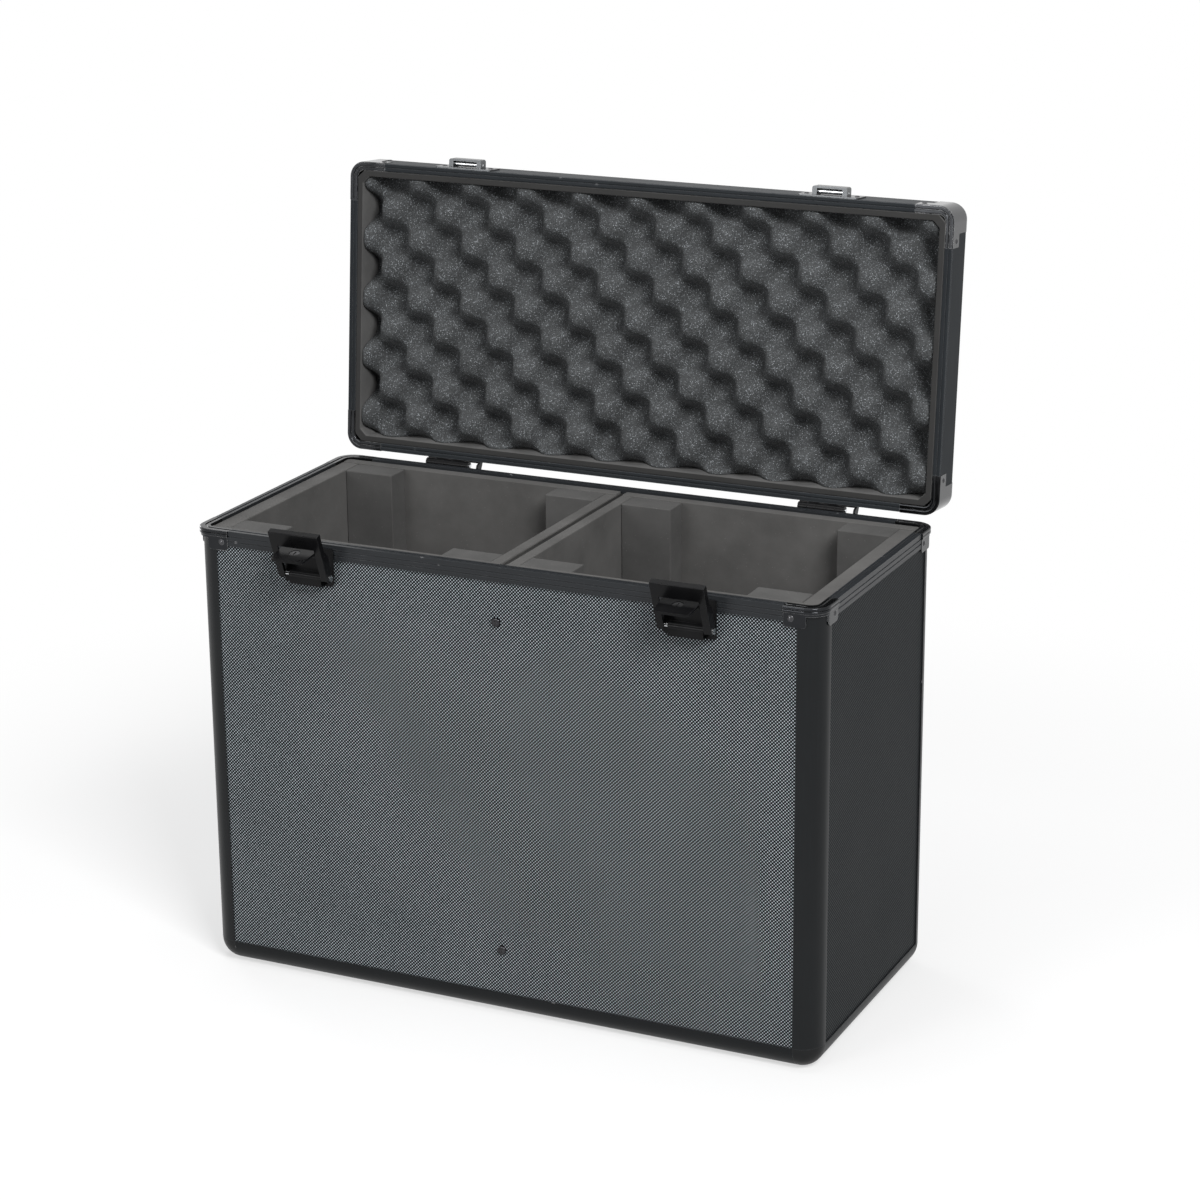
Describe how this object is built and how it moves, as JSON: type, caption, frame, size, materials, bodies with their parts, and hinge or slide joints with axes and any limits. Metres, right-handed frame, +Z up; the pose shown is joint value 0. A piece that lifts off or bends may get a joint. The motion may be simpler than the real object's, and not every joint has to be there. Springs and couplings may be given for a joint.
{
  "type": "lighting flight case",
  "caption": "Hard case for stage lights: hinged lid with wavy foam, lever latches, black profile edges and two foam lined bays",
  "frame": {"origin": "centre of the underside of the case's body, on the surface it stands on", "axes": "X to the right along the width, Y to the back where the hinges are, Z up"},
  "size_m": [0.5648, 0.3695, 0.6604],
  "materials": {
    "panel_laminate": "black laminate with a fine silver dot pattern",
    "black_profile": "matte black anodised",
    "black_hardware": "black nickel plated and matte painted",
    "bright_fasteners": "bright zinc plated",
    "plywood": "plywood board covered in dark foam sheet",
    "dense_foam": "closed cell foam sheet",
    "wavy_foam": "open cell acoustic foam",
    "grip_rubber": "moulded, fine matte"
  },
  "bodies": {
    "case": {"front_panel": "panel_laminate", "back_panel": "panel_laminate", "left_panel": "panel_laminate", "right_panel": "panel_laminate", "bottom_panel": "panel_laminate", "corner_profiles": "black_profile", "bottom_profiles_long": "black_profile", "bottom_profiles_short": "black_profile", "bottom_corners": "black_profile", "rim_profile_front": "black_profile", "rim_profile_back": "black_profile", "rim_profile_left": "black_profile", "rim_profile_right": "black_profile", "rim_corner_front_left": "black_hardware", "rim_corner_front_right": "black_hardware", "rim_corner_back_left": "black_hardware", "rim_corner_back_right": "black_hardware", "rim_rivets": "black_hardware", "divider_board": "plywood", "divider_screws": "bright_fasteners", "left_bay_lining": "dense_foam", "left_bay_insert": "dense_foam", "right_bay_lining": "dense_foam", "right_bay_insert": "dense_foam", "bay_bottom_pads": "dense_foam", "body_rivets": "black_hardware", "hinge_body_leaf_left": "black_hardware", "hinge_body_leaf_right": "black_hardware", "hinge_pins": "bright_fasteners", "latch_base_left": "black_hardware", "latch_base_right": "black_hardware", "latch_pins": "bright_fasteners"},
    "lid": {"lid_profile_front": "black_profile", "lid_profile_back": "black_profile", "lid_profile_left": "black_profile", "lid_profile_right": "black_profile", "lid_corner_front_left": "black_hardware", "lid_corner_front_right": "black_hardware", "lid_corner_back_left": "black_hardware", "lid_corner_back_right": "black_hardware", "lid_rivets": "black_hardware", "lid_panel": "panel_laminate", "lid_liner": "dense_foam", "lid_foam": "wavy_foam", "hinge_lid_leaf_left": "black_hardware", "catch_left": "black_hardware", "hinge_lid_leaf_right": "black_hardware", "catch_right": "black_hardware", "catch_rollers": "bright_fasteners", "handle_brackets": "black_hardware"},
    "latch_frame_left": {"latch_frame_left": "black_hardware", "latch_spring_left": "bright_fasteners"},
    "latch_lever_left": {"latch_lever_left": "black_hardware", "latch_lock_left": "bright_fasteners"},
    "latch_frame_right": {"latch_frame_right": "black_hardware", "latch_spring_right": "bright_fasteners"},
    "latch_lever_right": {"latch_lever_right": "black_hardware", "latch_lock_right": "bright_fasteners"},
    "carrying_handle": {"handle_bail": "black_hardware", "handle_grip": "grip_rubber"}
  },
  "joints": [
    {"name": "lid_hinge", "type": "hinge", "parent": "case", "child": "lid", "pos_m": [0, 0.1328, 0.3922], "axis": [-1, 0, 0], "range_deg": [-95, 0]},
    {"name": "latch_frame_left_pivot", "type": "hinge", "parent": "case", "child": "latch_frame_left", "pos_m": [-0.17, -0.1345, 0.3655], "axis": [1, 0, 0], "range_deg": [-20, 40]},
    {"name": "latch_lever_left_pivot", "type": "hinge", "parent": "latch_frame_left", "child": "latch_lever_left", "pos_m": [-0.17, -0.14408, 0.38713], "axis": [-1, 0, 0], "range_deg": [-100, 10]},
    {"name": "latch_frame_right_pivot", "type": "hinge", "parent": "case", "child": "latch_frame_right", "pos_m": [0.17, -0.1345, 0.3655], "axis": [1, 0, 0], "range_deg": [-20, 40]},
    {"name": "latch_lever_right_pivot", "type": "hinge", "parent": "latch_frame_right", "child": "latch_lever_right", "pos_m": [0.17, -0.14408, 0.38713], "axis": [-1, 0, 0], "range_deg": [-100, 10]},
    {"name": "handle_pivot", "type": "hinge", "parent": "lid", "child": "carrying_handle", "pos_m": [0, 0.19461, 0.54218], "axis": [1, 0, 0], "range_deg": [-5, 90]}
  ]
}
